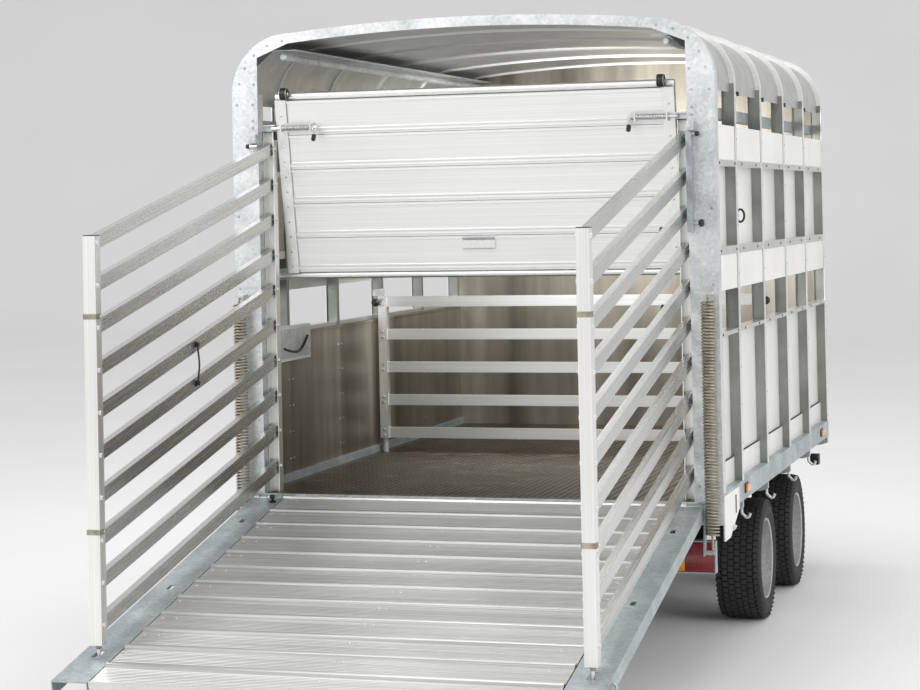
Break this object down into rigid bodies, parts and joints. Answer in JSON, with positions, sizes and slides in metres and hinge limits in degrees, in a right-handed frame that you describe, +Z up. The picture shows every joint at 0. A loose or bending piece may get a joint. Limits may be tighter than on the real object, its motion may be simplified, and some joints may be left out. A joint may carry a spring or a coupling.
{
  "type": "livestock trailer",
  "caption": "Covered livestock trailer with a lowered slatted loading ramp, side ramp gates, an upper tailgate and a division gate inside.",
  "frame": {"origin": "on the ground under the middle of the whole length, with the ramp down", "axes": "+Y forwards to the tow coupling, +Z up, +X to the right seen from behind"},
  "size_m": [1.989, 6.2218, 2.5388],
  "materials": {
    "black_steel": "black enamel",
    "galvanised_steel": "hot-dip galvanised, mottled",
    "inner_aluminium": "rolled sheet, dulled",
    "lamp_plastic": "clear-coated lens",
    "mill_aluminium": "extruded, mill finish",
    "silver_paint": "silver enamel",
    "spring_steel": "yellow zinc plated coil",
    "tread_plate": "five-bar tread, soiled",
    "tyre_rubber": "moulded",
    "white_sheet": "pre-painted sheet, satin"
  },
  "bodies": {
    "trailer": {"chassis_frame": "galvanised_steel", "drawbar": "galvanised_steel", "coupling_head": "galvanised_steel", "side_rails": "galvanised_steel", "floor_plate": "tread_plate", "portal_frame": "galvanised_steel", "side_posts": "mill_aluminium", "roof_bows": "mill_aluminium", "roof_skin": "white_sheet", "wall_panels": "white_sheet", "wall_rails": "mill_aluminium", "front_bulkhead": "inner_aluminium", "rope_hooks": "galvanised_steel", "lamp_frames": "galvanised_steel", "lamps": "lamp_plastic", "deck_rails": "galvanised_steel", "portal_brackets": "galvanised_steel", "axle_beams": "galvanised_steel", "leaf_springs": "black_steel", "ramp_springs": "spring_steel", "left_hinge_post": "mill_aluminium", "right_hinge_post": "mill_aluminium", "division_pivots": "galvanised_steel"},
    "ramp": {"ramp_planks": "mill_aluminium", "ramp_frame": "mill_aluminium", "hinge_tube": "galvanised_steel"},
    "gate_rails": {"left_gate_rail": "galvanised_steel", "right_gate_rail": "galvanised_steel"},
    "gate_end_posts": {"left_end_post": "mill_aluminium", "right_end_post": "mill_aluminium"},
    "upper_gate": {"upper_gate_planks": "mill_aluminium", "upper_gate_frame": "mill_aluminium"},
    "left_upper_bolt": {"left_upper_bolt": "mill_aluminium"},
    "right_upper_bolt": {"right_upper_bolt": "mill_aluminium"},
    "division_gate": {"division_gate": "mill_aluminium"},
    "jockey_stem": {"jockey_stem": "galvanised_steel"},
    "jockey_wheel": {"jockey_wheel": "tyre_rubber"},
    "handbrake_lever": {"handbrake_lever": "black_steel"},
    "gate_bars_1": {"gate_bars_1": "mill_aluminium"},
    "gate_bars_2": {"gate_bars_2": "mill_aluminium"},
    "gate_bars_3": {"gate_bars_3": "mill_aluminium"},
    "gate_bars_4": {"gate_bars_4": "mill_aluminium"},
    "gate_bars_5": {"gate_bars_5": "mill_aluminium"},
    "gate_bars_6": {"gate_bars_6": "mill_aluminium"},
    "gate_bars_7": {"gate_bars_7": "mill_aluminium"},
    "gate_bars_8": {"gate_bars_8": "mill_aluminium"},
    "gate_bars_9": {"gate_bars_9": "mill_aluminium"},
    "gate_bars_10": {"gate_bars_10": "mill_aluminium"},
    "left_upper_flaps": {"left_upper_flaps": "white_sheet"},
    "left_lower_flaps": {"left_lower_flaps": "white_sheet"},
    "rear_left_wheel": {"rear_left_rim": "silver_paint", "rear_left_tyre": "tyre_rubber"},
    "front_left_wheel": {"front_left_rim": "silver_paint", "front_left_tyre": "tyre_rubber"},
    "right_upper_flaps": {"right_upper_flaps": "white_sheet"},
    "right_lower_flaps": {"right_lower_flaps": "white_sheet"},
    "rear_right_wheel": {"rear_right_rim": "silver_paint", "rear_right_tyre": "tyre_rubber"},
    "front_right_wheel": {"front_right_rim": "silver_paint", "front_right_tyre": "tyre_rubber"}
  },
  "joints": [
    {"name": "ramp_hinge", "type": "hinge", "parent": "trailer", "child": "ramp", "pos_m": [0, -1.21145, 0.645], "axis": [-1, 0, 0], "range_deg": [-7, 101.2], "stiffness_Nm_per_rad": 600, "springref_deg": 83.08, "deforming": ["ramp_springs"]},
    {"name": "gate_pitch", "type": "hinge", "parent": "trailer", "child": "gate_bars_1", "pos_m": [0, -1.11945, 2.043], "axis": [-1, 0, 0], "range_deg": [-7, 11.2]},
    {"name": "gate_bars_2_pitch", "type": "hinge", "parent": "trailer", "child": "gate_bars_2", "pos_m": [0, -1.11945, 1.901], "axis": [-1, 0, 0], "range_deg": [-7, 11.2]},
    {"name": "gate_bars_3_pitch", "type": "hinge", "parent": "trailer", "child": "gate_bars_3", "pos_m": [0, -1.11945, 1.759], "axis": [-1, 0, 0], "range_deg": [-7, 11.2]},
    {"name": "gate_bars_4_pitch", "type": "hinge", "parent": "trailer", "child": "gate_bars_4", "pos_m": [0, -1.11945, 1.617], "axis": [-1, 0, 0], "range_deg": [-7, 11.2]},
    {"name": "gate_bars_5_pitch", "type": "hinge", "parent": "trailer", "child": "gate_bars_5", "pos_m": [0, -1.11945, 1.475], "axis": [-1, 0, 0], "range_deg": [-7, 11.2]},
    {"name": "gate_bars_6_pitch", "type": "hinge", "parent": "trailer", "child": "gate_bars_6", "pos_m": [0, -1.11945, 1.333], "axis": [-1, 0, 0], "range_deg": [-7, 11.2]},
    {"name": "gate_bars_7_pitch", "type": "hinge", "parent": "trailer", "child": "gate_bars_7", "pos_m": [0, -1.11945, 1.191], "axis": [-1, 0, 0], "range_deg": [-7, 11.2]},
    {"name": "gate_bars_8_pitch", "type": "hinge", "parent": "trailer", "child": "gate_bars_8", "pos_m": [0, -1.11945, 1.049], "axis": [-1, 0, 0], "range_deg": [-7, 11.2]},
    {"name": "gate_bars_9_pitch", "type": "hinge", "parent": "trailer", "child": "gate_bars_9", "pos_m": [0, -1.11945, 0.907], "axis": [-1, 0, 0], "range_deg": [-7, 11.2]},
    {"name": "gate_bars_10_pitch", "type": "hinge", "parent": "trailer", "child": "gate_bars_10", "pos_m": [0, -1.11945, 0.765], "axis": [-1, 0, 0], "range_deg": [-7, 11.2]},
    {"name": "gate_rails_pitch", "type": "hinge", "parent": "trailer", "child": "gate_rails", "pos_m": [0, -1.21145, 0.645], "axis": [-1, 0, 0], "range_deg": [-7, 11.2]},
    {"name": "end_posts_level", "type": "hinge", "parent": "gate_bars_1", "child": "gate_end_posts", "pos_m": [0, -2.86845, 1.69669], "axis": [-1, 0, 0], "range_deg": [-11.2, 7]},
    {"name": "upper_gate_tilt", "type": "hinge", "parent": "trailer", "child": "upper_gate", "pos_m": [0, -0.99145, 1.529], "axis": [-1, 0, 0], "range_deg": [-95, 0]},
    {"name": "left_upper_bolt_slide", "type": "slide", "parent": "upper_gate", "child": "left_upper_bolt", "axis": [1, 0, 0], "range_m": [0, 0.03], "stiffness_N_per_m": 400, "springref_m": -0.03},
    {"name": "right_upper_bolt_slide", "type": "slide", "parent": "upper_gate", "child": "right_upper_bolt", "axis": [-1, 0, 0], "range_m": [0, 0.03], "stiffness_N_per_m": 400, "springref_m": -0.03},
    {"name": "left_upper_flaps_swing", "type": "hinge", "parent": "trailer", "child": "left_upper_flaps", "pos_m": [-0.973, -1.19145, 1.956], "axis": [0, -1, 0], "range_deg": [0, 178]},
    {"name": "left_lower_flaps_swing", "type": "hinge", "parent": "trailer", "child": "left_lower_flaps", "pos_m": [-0.973, -1.19145, 1.591], "axis": [0, 1, 0], "range_deg": [0, 178]},
    {"name": "rear_left_wheel_spin", "type": "hinge", "parent": "trailer", "child": "rear_left_wheel", "pos_m": [-0.8325, 0.18055, 0.257], "axis": [1, 0, 0], "continuous": true},
    {"name": "front_left_wheel_spin", "type": "hinge", "parent": "trailer", "child": "front_left_wheel", "pos_m": [-0.8325, 1.11055, 0.257], "axis": [1, 0, 0], "continuous": true},
    {"name": "right_upper_flaps_swing", "type": "hinge", "parent": "trailer", "child": "right_upper_flaps", "pos_m": [0.973, -1.19145, 1.956], "axis": [0, 1, 0], "range_deg": [0, 178]},
    {"name": "right_lower_flaps_swing", "type": "hinge", "parent": "trailer", "child": "right_lower_flaps", "pos_m": [0.973, -1.19145, 1.591], "axis": [0, -1, 0], "range_deg": [0, 178]},
    {"name": "rear_right_wheel_spin", "type": "hinge", "parent": "trailer", "child": "rear_right_wheel", "pos_m": [0.8325, 0.18055, 0.257], "axis": [1, 0, 0], "continuous": true},
    {"name": "front_right_wheel_spin", "type": "hinge", "parent": "trailer", "child": "front_right_wheel", "pos_m": [0.8325, 1.11055, 0.257], "axis": [1, 0, 0], "continuous": true},
    {"name": "division_gate_swing", "type": "hinge", "parent": "trailer", "child": "division_gate", "pos_m": [-0.876, 0.45855, 0.762], "axis": [0, 0, 1], "range_deg": [-50, 50]},
    {"name": "jockey_stem_lift", "type": "slide", "parent": "trailer", "child": "jockey_stem", "axis": [0, 0, 1], "range_m": [0, 0.18]},
    {"name": "jockey_wheel_spin", "type": "hinge", "parent": "jockey_stem", "child": "jockey_wheel", "pos_m": [0.16, 2.57895, 0.1], "axis": [1, 0, 0], "continuous": true},
    {"name": "handbrake_swing", "type": "hinge", "parent": "trailer", "child": "handbrake_lever", "pos_m": [0, 2.61895, 0.57], "axis": [-1, 0, 0], "range_deg": [0, 70]}
  ],
  "couplings": [
    {"joint": "gate_bars_2_pitch", "follows": "gate_pitch", "ratio": 1},
    {"joint": "gate_bars_3_pitch", "follows": "gate_pitch", "ratio": 1},
    {"joint": "gate_bars_4_pitch", "follows": "gate_pitch", "ratio": 1},
    {"joint": "gate_bars_5_pitch", "follows": "gate_pitch", "ratio": 1},
    {"joint": "gate_bars_6_pitch", "follows": "gate_pitch", "ratio": 1},
    {"joint": "gate_bars_7_pitch", "follows": "gate_pitch", "ratio": 1},
    {"joint": "gate_bars_8_pitch", "follows": "gate_pitch", "ratio": 1},
    {"joint": "gate_bars_9_pitch", "follows": "gate_pitch", "ratio": 1},
    {"joint": "gate_bars_10_pitch", "follows": "gate_pitch", "ratio": 1},
    {"joint": "gate_rails_pitch", "follows": "gate_pitch", "ratio": 1},
    {"joint": "end_posts_level", "follows": "gate_pitch", "ratio": -1}
  ]
}
